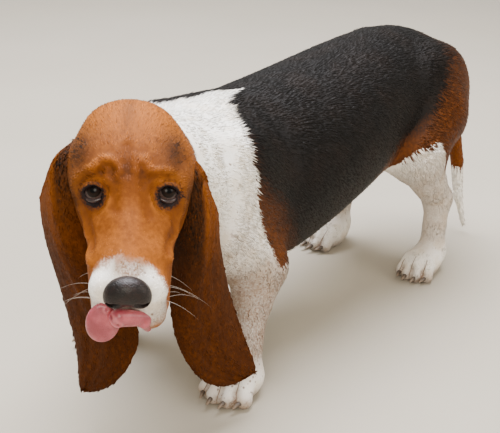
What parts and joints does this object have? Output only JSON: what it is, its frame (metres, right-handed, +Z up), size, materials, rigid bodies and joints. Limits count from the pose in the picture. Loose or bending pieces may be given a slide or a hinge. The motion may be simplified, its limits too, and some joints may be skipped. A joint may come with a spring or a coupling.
{
  "type": "basset hound",
  "caption": "Still, life-size standing basset hound: head lowered and turned to its left, long ears hanging, tongue curled under the nose, tail down.",
  "frame": {"origin": "middle of the footprint, on the floor under the belly", "axes": "+Z up, the body points along -Y, +X to the dog's left, tail at +Y"},
  "size_m": [0.3418, 0.9262, 0.4066],
  "materials": {
    "coat": "short dense glossy hair: white neck, chest, legs, paws, muzzle and tail tip, black saddle, red-brown head, ears, haunches and flank",
    "eye": "wet dark brown eye",
    "nose": "moist pebbled black-brown skin",
    "tongue": "wet pink, finely bumpy",
    "claw": "dull dark horn"
  },
  "bodies": {
    "root": {"head": "coat", "neck": "coat", "torso": "coat", "tail": "coat", "ear_left": "coat", "ear_right": "coat", "leg_front_left": "coat", "paw_front_left": "coat", "claw_front_left_1": "claw", "claw_front_left_2": "claw", "claw_front_left_3": "claw", "claw_front_left_4": "claw", "leg_hind_left": "coat", "paw_hind_left": "coat", "claw_hind_left_1": "claw", "claw_hind_left_2": "claw", "claw_hind_left_3": "claw", "claw_hind_left_4": "claw", "eye_left": "eye", "leg_front_right": "coat", "paw_front_right": "coat", "claw_front_right_1": "claw", "claw_front_right_2": "claw", "claw_front_right_3": "claw", "claw_front_right_4": "claw", "leg_hind_right": "coat", "paw_hind_right": "coat", "claw_hind_right_1": "claw", "claw_hind_right_2": "claw", "claw_hind_right_3": "claw", "claw_hind_right_4": "claw", "eye_right": "eye", "nose": "nose", "tongue": "tongue"}
  },
  "joints": []
}
